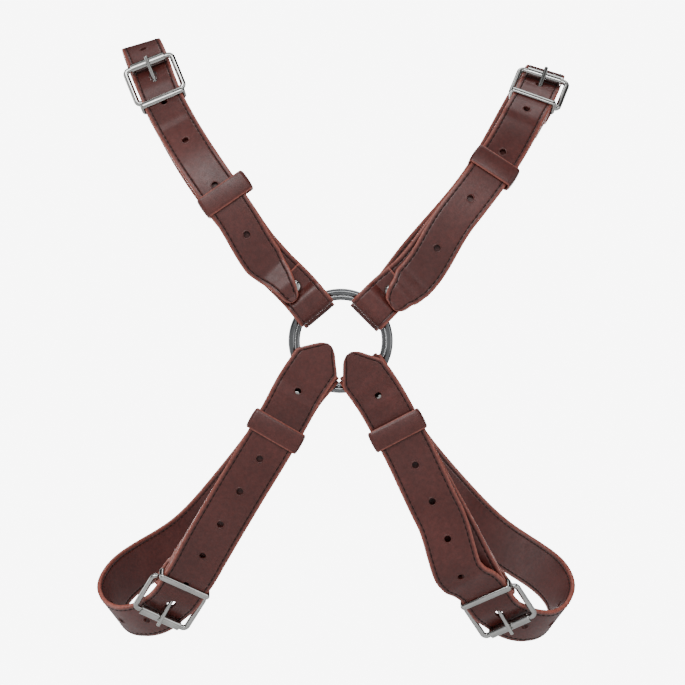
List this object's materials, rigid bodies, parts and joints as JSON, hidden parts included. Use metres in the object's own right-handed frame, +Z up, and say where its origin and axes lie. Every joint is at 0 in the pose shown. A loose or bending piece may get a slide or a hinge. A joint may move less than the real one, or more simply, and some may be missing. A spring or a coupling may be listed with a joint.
{
  "type": "leather x-back body harness",
  "caption": "Leather X-back body harness: buckled strap arms run from a back ring over the shoulders and round the flanks to a front ring.",
  "frame": {"origin": "middle of the wearer's torso, level with both rings", "axes": "+Z up, -Y towards the wearer's back where the buckles are, +X to the right seen from behind"},
  "size_m": [0.3006, 0.2241, 0.3771],
  "materials": {
    "leather": "smooth dark reddish brown leather, satin, stitched near its edges",
    "nickel": "polished nickel plate",
    "ring_steel": "dark polished steel wire"
  },
  "bodies": {
    "straps": {"upper_left_buckle_strap": "leather", "upper_left_billet": "leather", "upper_left_buckle_frame": "nickel", "upper_right_buckle_strap": "leather", "upper_right_billet": "leather", "upper_right_buckle_frame": "nickel", "lower_left_buckle_strap": "leather", "lower_left_billet": "leather", "lower_left_buckle_frame": "nickel", "lower_right_buckle_strap": "leather", "lower_right_billet": "leather", "lower_right_buckle_frame": "nickel", "back_ring_rivets": "nickel", "buckle_rivets": "nickel", "front_ring_rivets": "nickel"},
    "upper_left_roller": {"upper_left_roller": "nickel"},
    "upper_left_prong": {"upper_left_prong": "nickel"},
    "upper_left_metal_keeper": {"upper_left_metal_keeper": "nickel"},
    "upper_left_leather_keeper": {"upper_left_leather_keeper": "leather"},
    "upper_right_roller": {"upper_right_roller": "nickel"},
    "upper_right_prong": {"upper_right_prong": "nickel"},
    "upper_right_metal_keeper": {"upper_right_metal_keeper": "nickel"},
    "upper_right_leather_keeper": {"upper_right_leather_keeper": "leather"},
    "lower_left_roller": {"lower_left_roller": "nickel"},
    "lower_left_prong": {"lower_left_prong": "nickel"},
    "lower_left_metal_keeper": {"lower_left_metal_keeper": "nickel"},
    "lower_left_leather_keeper": {"lower_left_leather_keeper": "leather"},
    "lower_right_roller": {"lower_right_roller": "nickel"},
    "lower_right_prong": {"lower_right_prong": "nickel"},
    "lower_right_metal_keeper": {"lower_right_metal_keeper": "nickel"},
    "lower_right_leather_keeper": {"lower_right_leather_keeper": "leather"},
    "back_ring": {"back_ring": "ring_steel"},
    "front_ring": {"front_ring": "ring_steel"}
  },
  "joints": [
    {"name": "upper_left_roller_spin", "type": "hinge", "parent": "straps", "child": "upper_left_roller", "pos_m": [-0.11836, -0.06549, 0.17059], "axis": [-0.9271, -0.025, -0.3741], "continuous": true},
    {"name": "upper_left_prong_lift", "type": "hinge", "parent": "straps", "child": "upper_left_prong", "pos_m": [-0.11008, -0.06828, 0.15027], "axis": [0.9271, 0.025, 0.3741], "range_deg": [0, 3]},
    {"name": "upper_left_metal_keeper_slide", "type": "slide", "parent": "straps", "child": "upper_left_metal_keeper", "axis": [0.3781, -0.4232, -0.8234], "range_m": [0, 0.0009]},
    {"name": "upper_left_leather_keeper_slide", "type": "slide", "parent": "straps", "child": "upper_left_leather_keeper", "axis": [-0.567, 0.0766, 0.8202], "range_m": [-0.002, 0.002]},
    {"name": "upper_right_roller_spin", "type": "hinge", "parent": "straps", "child": "upper_right_roller", "pos_m": [0.12596, -0.04846, 0.16387], "axis": [-0.9431, 0.1278, 0.3071], "continuous": true},
    {"name": "upper_right_prong_lift", "type": "hinge", "parent": "straps", "child": "upper_right_prong", "pos_m": [0.11885, -0.06083, 0.1472], "axis": [0.9431, -0.1278, -0.3071], "range_deg": [0, 3]},
    {"name": "upper_right_metal_keeper_slide", "type": "slide", "parent": "straps", "child": "upper_right_metal_keeper", "axis": [-0.3368, -0.729, -0.596], "range_m": [0, 0.0009]},
    {"name": "upper_right_leather_keeper_slide", "type": "slide", "parent": "straps", "child": "upper_right_leather_keeper", "axis": [0.5391, 0.3455, 0.7681], "range_m": [-0.002, 0.002]},
    {"name": "lower_left_roller_spin", "type": "hinge", "parent": "straps", "child": "lower_left_roller", "pos_m": [-0.11072, -0.06928, -0.16952], "axis": [0.8576, 0.2986, -0.4187], "continuous": true},
    {"name": "lower_left_prong_lift", "type": "hinge", "parent": "straps", "child": "lower_left_prong", "pos_m": [-0.09828, -0.0774, -0.14983], "axis": [-0.8576, -0.2986, 0.4187], "range_deg": [0, 3]},
    {"name": "lower_left_metal_keeper_slide", "type": "slide", "parent": "straps", "child": "lower_left_metal_keeper", "axis": [0.4989, -0.4311, 0.7518], "range_m": [0, 0.0009]},
    {"name": "lower_left_leather_keeper_slide", "type": "slide", "parent": "straps", "child": "lower_left_leather_keeper", "axis": [-0.4998, -0.005, -0.8661], "range_m": [-0.002, 0.002]},
    {"name": "lower_right_roller_spin", "type": "hinge", "parent": "straps", "child": "lower_right_roller", "pos_m": [0.10374, -0.06838, -0.17454], "axis": [0.8591, -0.2985, 0.4157], "continuous": true},
    {"name": "lower_right_prong_lift", "type": "hinge", "parent": "straps", "child": "lower_right_prong", "pos_m": [0.09126, -0.07803, -0.15568], "axis": [-0.8591, 0.2985, -0.4157], "range_deg": [0, 3]},
    {"name": "lower_right_metal_keeper_slide", "type": "slide", "parent": "straps", "child": "lower_right_metal_keeper", "axis": [-0.486, -0.4771, 0.7322], "range_m": [0, 0.0009]},
    {"name": "lower_right_leather_keeper_slide", "type": "slide", "parent": "straps", "child": "lower_right_leather_keeper", "axis": [0.4599, -0.0415, -0.887], "range_m": [0, 0.002]},
    {"name": "back_ring_spin", "type": "hinge", "parent": "straps", "child": "back_ring", "pos_m": [0, -0.11, 0], "axis": [0, 1, 0], "continuous": true},
    {"name": "front_ring_spin", "type": "hinge", "parent": "straps", "child": "front_ring", "pos_m": [0, 0.1, 0], "axis": [0, 1, 0], "continuous": true}
  ]
}
